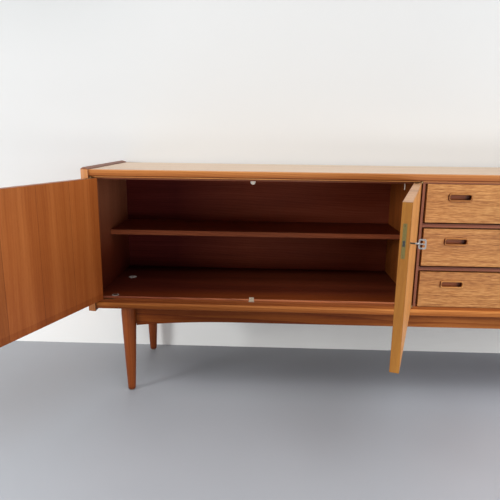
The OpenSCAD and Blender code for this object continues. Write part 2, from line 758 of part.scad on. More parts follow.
// A pull: a rounded rim round a finger slot, with the slot's cup behind it
module pull() {
  rim_r = rim_w / 2;
  mid_r = slot_r + rim_r;
  dx = (slot_l + rim_w) / 2;
  dy = (slot_h + rim_w) / 2;
  difference() {
    union() {
      translate([0, 0, -pull_proud + rim_r]) linear_extrude(pull_proud - rim_r)
        rounded(pull_l, pull_h, slot_r + rim_w);
      linear_extrude(slot_d + 2) rounded(slot_l + 4, slot_h + 4, slot_r + 2);
    }
    translate([0, 0, -pull_proud - 1]) linear_extrude(pull_proud + 1 + slot_d)
      rounded(slot_l, slot_h, slot_r);
  }
  // the half-round bead that makes the rim's front
  translate([0, 0, -pull_proud + rim_r]) difference() {
    union() {
      for (s = [-1, 1]) {
        translate([mid_r - dx, s * dy, 0]) rotate([0, 90, 0]) cylinder(r = rim_r, h = 2*(dx - mid_r));
        translate([s * dx, mid_r - dy, 0]) rotate([-90, 0, 0]) cylinder(r = rim_r, h = 2*(dy - mid_r));
      }
      for (a = [0, 90, 180, 270])
        translate([(a == 0 || a == 270 ? 1 : -1) * (dx - mid_r), (a < 180 ? 1 : -1) * (dy - mid_r), 0])
          rotate([0, 0, a]) rotate_extrude(angle = 90) translate([mid_r, 0]) circle(r = rim_r);
    }
    linear_extrude(2*rim_r) square([pull_l + 8, pull_h + 8], center = true);
  }
}
module pulls(i) { color(teak_dark) for (s = [-1, 1]) pull_at(i, s, front_set) pull(); }
// A board of a drawer box along Y, its upper edges rounded
module drawer_side(x, z) {
  r = drawer_side_r;
  translate([fx(x), fy(box_y + box_d), z]) rotate([90, 0, 0]) linear_extrude(box_d) {
    square([drawer_side_t, box_h - r]);
    translate([r, 0]) square([drawer_side_t - 2*r, box_h]);
    for (c = [r, drawer_side_t - r]) translate([c, box_h - r]) circle(r = r);
  }
}
module drawer_box(i) {
  z0 = front_z(i) + drawer_up;
  x_in = box_x + drawer_side_t;
  w_in = box_w - 2*drawer_side_t;
  z_base = z0 + drawer_floor_up;
  z_run = front_z(i) + runner_up - runner_h/2;
  color(nylon * 0.9) difference() {
    union() {
      for (x = [box_x, box_x + box_w - drawer_side_t]) drawer_side(x, z0);
      // the board behind the front, and the back, which stands on the bottom
      box([x_in - e, box_y, z0], [x_in + w_in + e, box_y + 10, z0 + box_h - drawer_side_r]);
      box([x_in - e, box_y + box_d - drawer_back_t, z_base + drawer_floor_t],
        [x_in + w_in + e, box_y + box_d, z0 + box_h - 2*drawer_side_r]);
    }
    // groove for the bottom, which slides in from behind
    box([x_in - drawer_floor_in, box_y + 5, z_base],
      [x_in + w_in + drawer_floor_in, box_y + box_d + 1, z_base + drawer_floor_t]);
    // grooves that ride on the runners
    for (x = [box_x - 1, box_x + box_w - groove_d])
      box([x, lip_d + rail_d - 2, z_run - runner_play],
        [x + groove_d + 1, box_y + box_d + 1, z_run + runner_h]);
  }
}
module drawer_base(i) {
  z0 = front_z(i) + drawer_up + drawer_floor_up;
  x0 = box_x + drawer_side_t - drawer_floor_in;
  w = box_w - 2*drawer_side_t + 2*drawer_floor_in;
  color(nylon * 0.8) box([x0, box_y + 5, z0], [x0 + w, box_y + box_d, z0 + drawer_floor_t]);
}

// ---- Base ----
function leg_r(t) = leg_foot_r + (leg_top_r - leg_foot_r) * pow(t, 0.9);
leg_x = [leg_in_x, body_w - leg_in_x];
leg_y = [leg_in_front, body_d - leg_in_back];
module leg(x, y) {
  n = 10;
  taper = z_under - 50 - glide_h;
  translate([fx(x), fy(y), glide_h]) rotate_extrude() polygon(concat([[0, 0]],
    [[leg_foot_r - 3, 0], [leg_foot_r - 0.9, 0.9], [leg_foot_r, 3]],
    [for (i = [1:n]) [leg_r(i/n), taper * i/n]],
    [[leg_top_r, z_under - glide_h], [0, z_under - glide_h]]));
}
module leg_front_left() { color(teak_dark) leg(leg_x[0], leg_y[0]); }
module leg_front_right() { color(teak_dark) leg(leg_x[1], leg_y[0]); }
module leg_back_left() { color(teak_dark) leg(leg_x[0], leg_y[1]); }
module leg_back_right() { color(teak_dark) leg(leg_x[1], leg_y[1]); }
module glides() { color(nylon) for (x = leg_x, y = leg_y) rod_z(x, y, 0, glide_r, glide_h); }
module leg_cuts() { for (x = leg_x, y = leg_y) rod_z(x, y, leg_h - 200, leg_top_r, 400); }
// Apron outline in X and Z, measured from the left leg centre
module apron_plan() {
  l = body_w - 2*leg_in_x;
  z0 = leg_h - apron_h;
  n = 18;
  a = [for (i = [0:n]) let(u = i/n) [leg_top_r + apron_arc * u, z0 - apron_drop * pow(1 - u, 2)]];
  polygon(concat([[0, z_under], [0, z0 - apron_drop]], a,
    [for (i = [n:-1:0]) [l - a[i][0], a[i][1]]], [[l, z0 - apron_drop], [l, z_under]]));
}
module apron(y) {
  color(teak_dark) difference() {
    translate([fx(leg_in_x), fy(y + apron_t/2), 0]) rotate([90, 0, 0]) linear_extrude(apron_t) apron_plan();
    leg_cuts();
  }
}
module apron_front() { apron(leg_y[0] + apron_set); }
module apron_back() { apron(leg_y[1]); }
module end_rails() {
  color(teak_dark) difference() {
    for (x = leg_x) box([x - apron_t/2, leg_y[0], leg_h - apron_h], [x + apron_t/2, leg_y[1], z_under]);
    leg_cuts();
  }
}
module bearers() {
  y0 = leg_y[0] + apron_set + apron_t/2;
  color(teak_dark) for (x = [x_p1, x_p2])
    box([x, y0, leg_h - apron_h + bearer_up], [x + apron_t, leg_y[1] - apron_t/2, z_under]);
}

side_left();
side_right();
top_panel();
top_lip();
bottom_panel();
bottom_lip();
top_stops();
partition_left();
partition_right();
partition_edging();
back_panel();
drawer_rails();
drawer_runners();
shelf_left();
shelf_right();
shelf_pins();
hinge_leaves();
catch_top();
catch_poles();
catch_bottom();
door_buffer();
floor_cap();
door_left();
door_right();
door_far();
hinge_left();
hinge_right();
hinge_far();
strike_left();
strike_right();
strike_far();
keeper_left();
lock_right();
liner_right();
bolt_right();
key();
lock_far();
liner_far();
bolt_far();
drawer_front(1);  // drawer_front_1
drawer_box(1);  // drawer_box_1
drawer_base(1);  // drawer_base_1
pulls(1);  // pulls_1
drawer_front(2);  // drawer_front_2
drawer_box(2);  // drawer_box_2
drawer_base(2);  // drawer_base_2
pulls(2);  // pulls_2
drawer_front(3);  // drawer_front_3
drawer_box(3);  // drawer_box_3
drawer_base(3);  // drawer_base_3
pulls(3);  // pulls_3
leg_front_left();
leg_front_right();
leg_back_left();
leg_back_right();
glides();
apron_front();
apron_back();
end_rails();
bearers();
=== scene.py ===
"""Looks of a long, low teak sideboard: its woods, fittings, small details, stage, lights and camera."""

import json
import math

import bmesh
import bpy
from mathutils import Matrix, Vector


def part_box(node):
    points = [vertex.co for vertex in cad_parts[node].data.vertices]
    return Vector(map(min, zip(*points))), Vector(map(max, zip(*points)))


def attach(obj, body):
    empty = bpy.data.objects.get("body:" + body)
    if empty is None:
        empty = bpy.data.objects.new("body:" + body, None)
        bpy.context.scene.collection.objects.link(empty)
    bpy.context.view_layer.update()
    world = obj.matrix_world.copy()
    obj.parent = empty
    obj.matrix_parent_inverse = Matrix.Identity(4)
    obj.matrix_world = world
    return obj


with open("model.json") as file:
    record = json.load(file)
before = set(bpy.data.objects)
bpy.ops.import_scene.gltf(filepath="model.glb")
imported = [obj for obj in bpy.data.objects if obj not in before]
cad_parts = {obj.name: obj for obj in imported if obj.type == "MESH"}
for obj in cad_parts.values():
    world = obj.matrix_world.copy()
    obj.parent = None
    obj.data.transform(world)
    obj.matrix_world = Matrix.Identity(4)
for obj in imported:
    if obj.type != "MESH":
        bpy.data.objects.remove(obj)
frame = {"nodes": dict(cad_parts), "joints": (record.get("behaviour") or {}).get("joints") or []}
NODES = frame["nodes"]
JOINTS = {joint["name"]: joint for joint in frame["joints"]}
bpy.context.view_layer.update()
MM = 0.001

# ---------------------------------------------------------------- camera and stage

CAMERA_AT = Vector((-0.4852, -1.8224, 0.8946))
CAMERA_LEFT = math.radians(1.8597)
CAMERA_DOWN = math.radians(12.795)
CAMERA_ROLL = math.radians(0.7055)
CAMERA_VIEW = math.radians(52.563)
WALL_Y = 0.2225


def make_camera():
    forward = Vector((
        -math.sin(CAMERA_LEFT) * math.cos(CAMERA_DOWN),
        math.cos(CAMERA_LEFT) * math.cos(CAMERA_DOWN),
        -math.sin(CAMERA_DOWN),
    ))
    level = Vector((math.cos(CAMERA_LEFT), math.sin(CAMERA_LEFT), 0))
    upright = level.cross(forward)
    right = math.cos(CAMERA_ROLL) * level + math.sin(CAMERA_ROLL) * upright
    up = -math.sin(CAMERA_ROLL) * level + math.cos(CAMERA_ROLL) * upright
    data = bpy.data.cameras.new("camera")
    data.sensor_fit = "HORIZONTAL"
    data.angle = CAMERA_VIEW
    camera = bpy.data.objects.new("camera", data)
    bpy.context.scene.collection.objects.link(camera)
    turn = Matrix((right, up, -forward)).transposed().to_4x4()
    camera.matrix_world = Matrix.Translation(CAMERA_AT) @ turn
    bpy.context.scene.camera = camera


def plane(name, corners, material):
    mesh = bpy.data.meshes.new(name)
    mesh.from_pydata(corners, [], [range(len(corners))])
    mesh.materials.append(material)
    obj = bpy.data.objects.new(name, mesh)
    bpy.context.scene.collection.objects.link(obj)
    return obj


def area_light(name, at, towards, size, power, colour):
    data = bpy.data.lights.new(name, "AREA")
    data.shape = "RECTANGLE"
    data.size, data.size_y = size
    data.energy = power
    data.color = colour
    light = bpy.data.objects.new(name, data)
    light.location = at
    aim = Vector(towards) - Vector(at)
    light.rotation_euler = aim.to_track_quat("-Z", "Y").to_euler()
    bpy.context.scene.collection.objects.link(light)


# ---------------------------------------------------------------- node trees

class Tree:
    """Short calls for building a node tree."""

    def __init__(self, tree):
        self.tree = tree

    def add(self, kind, inputs=(), **settings):
        node = self.tree.nodes.new(kind)
        for name, value in settings.items():
            setattr(node, name, value)
        for name, value in dict(inputs).items():
            self.put(value, node.inputs[name])
        return node

    def put(self, value, socket):
        if isinstance(value, bpy.types.NodeSocket):
            self.tree.links.new(value, socket)
        elif value is not None:
            socket.default_value = value

    def math(self, operation, a, b=None):
        node = self.tree.nodes.new("ShaderNodeMath")
        node.operation = operation
        for value, socket in zip((a, b), node.inputs):
            self.put(value, socket)
        return node.outputs[0]

    def vector(self, operation, a, b):
        """A distance comes out as a number, and a sum or product as a vector."""
        node = self.tree.nodes.new("ShaderNodeVectorMath")
        node.operation = operation
        self.put(a, node.inputs[0])
        self.put(b, node.inputs[1])
        return node.outputs[1 if operation == "DISTANCE" else 0]

    def mix(self, amount, a, b, blend="MIX"):
        node = self.tree.nodes.new("ShaderNodeMix")
        node.data_type = "RGBA"
        node.blend_type = blend
        node.clamp_factor = True
        self.put(amount, node.inputs[0])
        self.put(a, node.inputs[6])
        self.put(b, node.inputs[7])
        return node.outputs[2]

    def tinted(self, amount, colour, tint):
        """The colour as it is where amount is 0, and multiplied by the tint where it is 1."""
        return self.mix(amount, colour, self.mix(1.0, colour, (*tint, 1), "MULTIPLY"))

    def grey(self, shade):
        return self.add("ShaderNodeCombineColor", {0: shade, 1: shade, 2: shade}).outputs[0]

    def ramp(self, value, low, high, smooth=True):
        """0 below low, 1 above high."""
        node = self.tree.nodes.new("ShaderNodeMapRange")
        node.interpolation_type = "SMOOTHSTEP" if smooth else "LINEAR"
        for name, number in (("Value", value), ("From Min", low), ("From Max", high)):
            self.put(number, node.inputs[name])
        return node.outputs[0]

    def noise(self, vector, scale, detail, rough=0.5):
        values = {"Vector": vector, "Scale": scale, "Detail": detail, "Roughness": rough}
        return self.add("ShaderNodeTexNoise", values).outputs[0]

    def place(self):
        """Object coordinates, in metres."""
        return self.add("ShaderNodeTexCoord").outputs["Object"]

    def split(self, vector):
        return self.add("ShaderNodeSeparateXYZ", {0: vector}).outputs


def new_group(name, inputs, outputs):
    """A shader node group, its tree, what comes in and what goes out. Inputs are (name, type, default)."""
    group = bpy.data.node_groups.new(name, "ShaderNodeTree")
    for label, kind, value in inputs:
        socket = group.interface.new_socket(label, in_out="INPUT", socket_type="NodeSocket" + kind)
        if value is not None:
            socket.default_value = value
    for label, kind in outputs:
        group.interface.new_socket(label, in_out="OUTPUT", socket_type="NodeSocket" + kind)
    tree = Tree(group)
    return group, tree, tree.add("NodeGroupInput").outputs, tree.add("NodeGroupOutput").inputs


def make_figure_group():
    """Figure of a teak board. The grain runs along X of Vector, in metres."""
    group, t, given, out = new_group(
        "teak_figure",
        [
            ("Vector", "Vector", None),
            ("Light", "Color", (0.6, 0.3, 0.1, 1)),
            ("Mid", "Color", (0.4, 0.2, 0.1, 1)),
            ("Dark", "Color", (0.2, 0.1, 0.05, 1)),
            ("Rings", "Float", 0.5),
            ("Flecks", "Float", 0.5),
            ("Broad", "Float", 0.5),
            ("Streaks", "Float", 0.9),
            ("Ring Count", "Float", 135.0),
        ],
        [("Color", "Color"), ("Roughness", "Float"), ("Height", "Float")],
    )
    along = given["Vector"]
    drift = t.noise(t.vector("MULTIPLY", along, (1.1, 5.0, 5.0)), 1.0, 2.0)
    shift = t.math("MULTIPLY", t.math("SUBTRACT", drift, 0.5), 0.05)
    wavy = t.vector("ADD", along, t.add("ShaderNodeCombineXYZ", {"Y": shift, "Z": shift}).outputs[0])
    # growth rings of a log whose heart lies below the board and is a little out of line with it
    parts = t.split(wavy)
    depth = t.math("ADD", t.math("MULTIPLY", parts[0], 0.055), t.math("ADD", parts[2], 0.03))
    squares = [t.math("MULTIPLY", side, side) for side in (parts[1], depth)]
    radius = t.math("SQRT", t.math("ADD", *squares))
    ring = t.math("FRACT", t.math("MULTIPLY", radius, given["Ring Count"]))
    ring = t.math("POWER", ring, 2.2)

    def mottle(along_grain, across_grain, detail, rough=0.5):
        """Noise drawn out along the grain, with so many patches to the metre each way."""
        stretched = t.vector("MULTIPLY", wavy, (along_grain, across_grain, across_grain))
        return t.noise(stretched, 1.0, detail, rough)

    # soft bands of tone, streaks, flecks and fine dark pores
    broad = mottle(0.5, 14.0, 3.0, 0.55)
    streak = mottle(2.2, 110.0, 3.0, 0.6)
    fleck = mottle(34.0, 430.0, 2.0, 0.6)
    pore = t.ramp(mottle(55.0, 1500.0, 1.0), 0.60, 0.72)
    tone = 0.5
    for strength, part in (("Broad", broad), ("Streaks", streak), ("Flecks", fleck)):
        tone = t.math("ADD", tone, t.math("MULTIPLY", given[strength], t.math("SUBTRACT", part, 0.5)))
    tone = t.math("SUBTRACT", tone, t.math("MULTIPLY", given["Rings"], t.math("SUBTRACT", ring, 0.3)))
    tone = t.math("SUBTRACT", tone, t.math("MULTIPLY", pore, 0.16))
    lower = t.mix(t.ramp(tone, 0.0, 0.5, False), given["Dark"], given["Mid"])
    t.put(t.mix(t.ramp(tone, 0.5, 1.0, False), lower, given["Light"]), out["Color"])
    rough = t.math("ADD", 0.42, t.math("MULTIPLY", pore, 0.25))
    t.put(t.math("ADD", rough, t.math("MULTIPLY", t.math("SUBTRACT", broad, 0.5), 0.18)), out["Roughness"])
    t.put(t.math("SUBTRACT", t.math("MULTIPLY", streak, 0.25), pore), out["Height"])
    return group


def make_edge_group():
    """The surface's normal, rounded off within Reach metres of an edge."""
    group, t, given, out = new_group("eased_edge", [("Reach", "Float", 0.0012)], [("Normal", "Vector")])
    t.put(t.add("ShaderNodeBevel", {"Radius": given["Reach"]}, samples=3).outputs[0], out["Normal"])
    return group


FIGURE = make_figure_group()
EDGE = make_edge_group()


def new_material(name):
    material = bpy.data.materials.new(name)
    material.use_nodes = True
    material.node_tree.nodes.clear()
    t = Tree(material.node_tree)
    shader = t.add("ShaderNodeBsdfPrincipled")
    t.put(shader.outputs[0], t.add("ShaderNodeOutputMaterial").inputs[0])
    return material, t, shader


def shut_place(t, door=None):
    """Object coordinates; those of an open door are turned back to where they are when it is shut."""
    place = t.place()
    if door is None:
        return place
    pivot, angle = DOOR_TURN[door]
    values = {"Vector": place, "Center": pivot, "Angle": angle}
    return t.add("ShaderNodeVectorRotate", values, rotation_type="Z_AXIS").outputs[0]


# each way of laying a board: the axes along its grain, over its face, and into it
GRAINS = {"x": "xzy", "x flat": "xyz", "y": "yxz", "z": "zxy", "z side": "zyx"}


def board_vector(t, parts, grain, seed, leaf=None):
    """Coordinates turned so that X runs along the grain and Y over the face, moved by a seed so that
    boards differ. Leaves of veneer are laid as mirror images of their neighbours."""
    along, over, deep = (parts[axis] for axis in GRAINS[grain])
    if leaf:
        start, width = leaf
        over = t.math("PINGPONG", t.math("SUBTRACT", over, start), width)
    turned = t.add("ShaderNodeCombineXYZ", {"X": along, "Y": over, "Z": deep}).outputs[0]
    return t.vector("ADD", turned, (seed * 3.17, seed * 0.713 - 0.2, seed * 0.377))


def slab(t, value, low, high, soft=0.0004):
    """1 where the value lies between low and high."""
    return t.math(
        "MULTIPLY", t.ramp(value, low - soft, low + soft, False),
        t.math("SUBTRACT", 1.0, t.ramp(value, high - soft, high + soft, False)),
    )


def leaf_tones(t, colour, over, leaf, seed):
    """Makes each leaf of veneer lighter or darker than its neighbours, with a thin dark joint between."""
    start, width = leaf
    number = t.math("FLOOR", t.math("DIVIDE", t.math("SUBTRACT", over, start), width))
    values = {"W": t.math("ADD", number, seed)}
    chance = t.add("ShaderNodeTexWhiteNoise", values, noise_dimensions="1D").outputs[0]
    shade = t.math("ADD", 0.84, t.math("MULTIPLY", chance, 0.30))
    colour = t.mix(1.0, colour, t.grey(shade), "MULTIPLY")
    within = t.math("MODULO", t.math("SUBTRACT", over, start - width), width)
    joint = slab(t, within, -1 * MM, 1.6 * MM, 0.0006)
    return t.tinted(t.math("MULTIPLY", joint, 0.75), colour, (0.45, 0.36, 0.30))


GRAIN_DEPTH = 0.0002
GRAIN_BUMP = 0.25


def teak(name, grain, colours, seed, rings=0.25, flecks=0.35, broad=1.2, gloss=0.0,
         streaks=0.9, ring_count=135.0, shine=0.25, leaf=None, door=None, zones=()):
    """A finished teak board: colours are its light, middle and dark tones. A leaf of veneer is (start,
    width). Zones, made by zone(), are parts with their own tone, and parts with painted light and shade."""
    material, t, shader = new_material(name)
    place = shut_place(t, door)
    parts = dict(zip("xyz", t.split(place)))
    figure = t.add("ShaderNodeGroup", node_tree=FIGURE)
    light, mid, dark = ((*colour, 1) for colour in colours)
    for label, value in (
        ("Vector", board_vector(t, parts, grain, seed, leaf)),
        ("Light", light), ("Mid", mid), ("Dark", dark),
        ("Rings", rings), ("Ring Count", ring_count),
        ("Flecks", flecks), ("Broad", broad), ("Streaks", streaks),
    ):
        t.put(value, figure.inputs[label])
    colour = figure.outputs["Color"]
    if leaf:
        colour = leaf_tones(t, colour, parts[GRAINS[grain][1]], leaf, seed)
    for ranges, tint in zones:
        mask = None
        for axis, low, high, soft in ranges:
            part = slab(t, parts[axis], low, high, soft)
            mask = part if mask is None else t.math("MULTIPLY", mask, part)
        colour = t.tinted(mask, colour, tint)
    t.put(colour, shader.inputs["Base Color"])
    t.put(t.math("SUBTRACT", figure.outputs["Roughness"], gloss), shader.inputs["Roughness"])
    shader.inputs["Specular IOR Level"].default_value = shine
    height = figure.outputs["Height"]
    relief = t.add("ShaderNodeBump", {"Height": height, "Distance": GRAIN_DEPTH, "Strength": GRAIN_BUMP})
    t.put(t.add("ShaderNodeGroup", node_tree=EDGE).outputs["Normal"], relief.inputs["Normal"])
    t.put(relief.outputs[0], shader.inputs["Normal"])
    return material


CLOUD_SCALE = 300.0           # patches to the metre in the tone of a fitting


def plain(name, colour, roughness, metallic=0.0, speckle=0.06):
    """A fitting's finish, with a little unevenness in tone and gloss."""
    material, t, shader = new_material(name)
    cloud = t.noise(t.place(), CLOUD_SCALE, 4.0, 0.6)
    shade = t.math("ADD", 1.0 - speckle, t.math("MULTIPLY", cloud, 2 * speckle))
    t.put(t.mix(1.0, (*colour, 1), t.grey(shade), "MULTIPLY"), shader.inputs["Base Color"])
    t.put(t.math("ADD", roughness - 0.08, t.math("MULTIPLY", cloud, 0.16)), shader.inputs["Roughness"])
    shader.inputs["Metallic"].default_value = metallic
    return material


# ---------------------------------------------------------------- places in the case

FAR = 10.0                    # beyond every piece
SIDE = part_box("side_left")[1][0]
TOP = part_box("top_panel")[1][2]
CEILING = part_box("top_panel")[0][2]
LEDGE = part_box("bottom_lip")[1][2]
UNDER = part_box("bottom_lip")[0][2]
LIP_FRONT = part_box("bottom_lip")[0][1]
LIP_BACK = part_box("bottom_lip")[1][1]
STEP = LIP_FRONT + 6 * MM     # face behind the noses of the lips
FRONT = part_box("drawer_front_1")[0][1]
STRIP_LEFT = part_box("partition_edging")[0][0]
DOOR_LOW, DOOR_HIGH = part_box("door_far")[0][2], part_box("door_far")[1][2]
DOOR_FACE, DOOR_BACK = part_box("door_far")[0][1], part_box("door_far")[1][1]
DOOR_W = 521 * MM
DOOR_GAP = 1 * MM
DOOR_LEAF = DOOR_W / 4        # width of one leaf of veneer
PULL_W = 76.4 * MM
SKIN = 0.3 * MM               # a tone that belongs to a face goes this deep
CRISP = 0.0002                # half the width of a sharp change of tone


def pivot_of(joint):
    return Vector(JOINTS[joint]["pos_m"])


DOOR_TURN = {
    "left": (pivot_of("door_left_hinge"), math.radians(JOINTS["door_left_hinge"]["range_deg"][1])),
    "right": (pivot_of("door_right_hinge"), -math.radians(JOINTS["door_right_hinge"]["range_deg"][1])),
}

# ---------------------------------------------------------------- woods and fittings

ORANGE = ((0.60, 0.27, 0.098), (0.47, 0.185, 0.058), (0.31, 0.105, 0.032))
DOOR_OUT = ((0.76, 0.375, 0.125), (0.63, 0.275, 0.078), (0.43, 0.160, 0.040))
DOOR_IN = ((0.451, 0.138, 0.031), (0.352, 0.0929, 0.0181), (0.221, 0.0464, 0.00774))
GOLD = ((0.74, 0.395, 0.137), (0.49, 0.206, 0.057), (0.20, 0.056, 0.012))
# the top's tones are teak with a painted sheen of reflected light in them, which makes them much paler and
# pinker
TOP_TONE_AND_SHEEN = ((0.84, 0.659, 0.486), (0.73, 0.515, 0.345), (0.56, 0.35, 0.203))
LIP = ((0.53, 0.205, 0.052), (0.40, 0.132, 0.029), (0.25, 0.068, 0.013))
APRON = ((0.50, 0.175, 0.038), (0.31, 0.086, 0.016), (0.14, 0.030, 0.005))
LEG = ((0.26, 0.062, 0.010), (0.185, 0.038, 0.006), (0.10, 0.017, 0.003))
TRIM = ((0.35, 0.120, 0.057), (0.255, 0.079, 0.035), (0.160, 0.042, 0.018))
DEEP = ((0.205, 0.0414, 0.0165), (0.143, 0.0264, 0.0105), (0.081, 0.0138, 0.006))
CUPBOARD_FLOOR = ((0.168, 0.0377, 0.0144), (0.112, 0.0221, 0.009), (0.0616, 0.0117, 0.0054))
BACK = ((0.297, 0.0708, 0.0357), (0.22, 0.0448, 0.0204), (0.127, 0.0212, 0.0102))
PALE = ((0.62, 0.45, 0.27), (0.52, 0.36, 0.20), (0.38, 0.25, 0.13))


def dress(material, *nodes):
    for name in nodes:
        obj = NODES[name]
        obj.data.materials.clear()
        obj.data.materials.append(material)


def above(axis, value, soft=CRISP):
    return axis, value, FAR, soft


def below(axis, value, soft=CRISP):
    return axis, -FAR, value, soft


def zone(tint, *ranges):
    """A tone for the place where all the ranges meet, each of them (axis, low, high, softness)."""
    return ranges, tint


# the crest of a side panel, which is end grain, has painted shade; the edge of its front has a
# painted highlight, and the foot of its front a painted shadow
CREST = zone((0.42, 0.30, 0.26), above("z", TOP + 1.0 * MM, 0.0008))
FACET = zone((1.12, 1.20, 1.35), below("y", LIP_FRONT - 0.6 * MM, 0.0008))
FACET_FOOT_SHADOW = zone((0.62, 0.52, 0.40), below("z", 0.35, 0.006), below("y", STEP, 0.0004))
# painted shade on the inner face of the left side panel, deeper towards the bottom and deepest at the foot
INNER_FACE = above("x", SIDE - SKIN)
INSIDE_LEFT_SHADE = zone((0.58, 0.52, 0.80), INNER_FACE)
INSIDE_LOW_SHADE = zone((0.50, 0.26, 0.19), INNER_FACE, below("z", 0.58, 0.10))
INSIDE_FOOT_SHADE = zone((0.58, 0.45, 0.48), INNER_FACE, below("z", 0.44, 0.06))
LEFT_ZONES = (CREST, FACET, FACET_FOOT_SHADOW, INSIDE_LEFT_SHADE, INSIDE_LOW_SHADE, INSIDE_FOOT_SHADE)
dress(teak("side_left_teak", "z side", ORANGE, 1.3, broad=1.0, zones=LEFT_ZONES), "side_left")
dress(teak("side_right_teak", "z side", ORANGE, 2.6, broad=1.0, zones=(CREST, FACET)), "side_right")
# the top's pale, pinkish tones hold a painted sheen over the teak's own tone
dress(teak("top_teak", "x flat", TOP_TONE_AND_SHEEN, 2.1, rings=0.3, gloss=0.06, shine=0.5), "top_panel")

# the nose of the upper lip, and the cut under it: a painted highlight along the top of the nose,
# painted shade on its lower part and on the upper part of the cut's face, and a painted light
# line along the foot of that face
UNDERCUT_LINE = CEILING + 2.6 * MM
NOSE_TOP_HIGHLIGHT = zone((1.35, 1.55, 1.9), above("z", TOP - 2.2 * MM, 0.0012))
NOSE_LOW_SHADE = zone((0.66, 0.54, 0.42), below("z", TOP - 13 * MM, 0.005))
UNDERCUT = zone((0.60, 0.45, 0.36), ("z", UNDERCUT_LINE, CEILING + 4.5 * MM, 0.0004))
UNDERCUT_LOW_LIGHT = zone((2.4, 3.6, 5.8), below("z", UNDERCUT_LINE, 0.0004))
TOP_LIP_ZONES = (NOSE_TOP_HIGHLIGHT, NOSE_LOW_SHADE, UNDERCUT, UNDERCUT_LOW_LIGHT)
dress(teak("top_lip_teak", "x", LIP, 3.7, rings=0.4, zones=TOP_LIP_ZONES), "top_lip")

# the bead of the lower lip, the step behind it and the ledge: painted shade on the step, painted
# light on the ledge, a painted highlight along the top of the bead and painted shade along its
# foot, a painted shadow over the left part of the lip and painted light over its right part
BEAD_CREST = UNDER + 20.8 * MM
BEHIND_BEAD_SHADE = zone((0.69, 0.54, 0.40), ("z", BEAD_CREST, LEDGE - SKIN, 0.0006))
LEDGE_TOP_LIGHT = zone((1.15, 1.08, 1.55), above("z", LEDGE - SKIN))
BEAD_TOP_HIGHLIGHT = zone((1.25, 1.32, 1.45), ("z", UNDER + 14 * MM, BEAD_CREST, 0.0015))
BEAD_LOW_SHADE = zone((0.72, 0.62, 0.55), below("z", UNDER + 9 * MM, 0.006))
BEAD_LEFT_SHADOW = zone((0.61, 0.52, 0.40), below("x", -0.42, 0.36))
BEAD_RIGHT_LIGHT = zone((1.22, 1.28, 1.30), above("x", STRIP_LEFT - 0.1, 0.10))
BOTTOM_LIP_ZONES = (BEHIND_BEAD_SHADE, LEDGE_TOP_LIGHT, BEAD_TOP_HIGHLIGHT, BEAD_LOW_SHADE, BEAD_LEFT_SHADOW, BEAD_RIGHT_LIGHT)
dress(teak("bottom_lip_teak", "x", LIP, 5.2, rings=0.4, shine=0.12, zones=BOTTOM_LIP_ZONES), "bottom_lip")
dress(teak("stop_teak", "x", TRIM, 4.2), "top_stops")

# a rail lies under each of the two upper drawers, and its upper part, under the drawer above, is
# darkened with painted shade
RAIL_LINES = [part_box(f"drawer_front_{number}")[0][2] for number in (1, 2)]
RAIL_TOP_SHADES = tuple(zone((0.55, 0.45, 0.40), ("z", line - 9.5 * MM, line, 0.0012)) for line in RAIL_LINES)
dress(teak("rail_teak", "x", TRIM, 4.9, zones=RAIL_TOP_SHADES), "drawer_rails")
dress(teak("edging_teak", "z", TRIM, 5.9), "partition_edging")

# inside the cupboards, with painted light and shade on the floor, on the back and on the shelves' front edges
FLOOR_LINE = LIP_BACK + SKIN
# painted light on the floor's front edge and on a strip along its front, and painted shade over its left part
FLOOR_EDGE_LIGHT = zone((5.4, 10.4, 11.2), below("y", FLOOR_LINE))
FLOOR_FRONT_LIGHT = zone((2.3, 2.6, 1.3), above("y", FLOOR_LINE), below("y", LIP_BACK + 40 * MM, 0.045))
FLOOR_LEFT_SHADE = zone((0.50, 0.40, 0.50), below("x", -0.62, 0.22))
dress(
    teak(
        "cupboard_floor_teak", "x flat", CUPBOARD_FLOOR, 6.1, rings=0.6, shine=0.08,
        zones=(FLOOR_EDGE_LIGHT, FLOOR_FRONT_LIGHT, FLOOR_LEFT_SHADE),
    ),
    "bottom_panel",
)
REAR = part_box("back_panel")[1][1] - 0.5 * MM
# painted shadow on the left part of the back's inner face; its rear face is paler, partly its own plainer
# tone and partly painted light
BACK_LEFT_SHADOW = zone((0.40, 0.26, 0.45), below("x", -0.70, 0.15), below("y", REAR))
BACK_REAR_TONE_AND_LIGHT = zone((2.0, 5.0, 5.6), above("y", REAR))
dress(teak("back_teak", "x", BACK, 6.6, shine=0.05, zones=(BACK_LEFT_SHADOW, BACK_REAR_TONE_AND_LIGHT)), "back_panel")
# painted light on the shelves' front edges
SHELF_EDGE_LIGHT = zone((2.05, 3.1, 3.1), below("y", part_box("shelf_left")[0][1] + SKIN))
dress(teak("shelf_teak", "x flat", DEEP, 6.9, shine=0.05, zones=(SHELF_EDGE_LIGHT,)), "shelf_left", "shelf_right")
dress(teak("partition_teak", "z side", APRON, 7.1, rings=0.1), "partition_left", "partition_right")


def door_teak(name, door, start, seed, colours, hinge_side, zones=()):
    """A door: four leaves of veneer on its faces, a solid free edge with a tone of its own, and a
    painted sheen on its top edge.
    """
    edge_skin = 0.5 * MM
    if hinge_side == "left":
        free_edge = above("x", start + DOOR_W - edge_skin)
    else:
        free_edge = below("x", start + edge_skin)
    # the free edge's yellower tone is its own, and the top edge's less orange, pinker tone is a painted sheen
    # of light from above
    edges = (zone((0.98, 1.06, 0.66), free_edge), zone((0.84, 0.96, 1.48), above("z", DOOR_HIGH - edge_skin)))
    return teak(
        name, "z", colours, seed, rings=0.12, flecks=0.35, broad=2.0, streaks=0.6,
        leaf=(start, DOOR_LEAF), door=door, zones=edges + zones,
    )


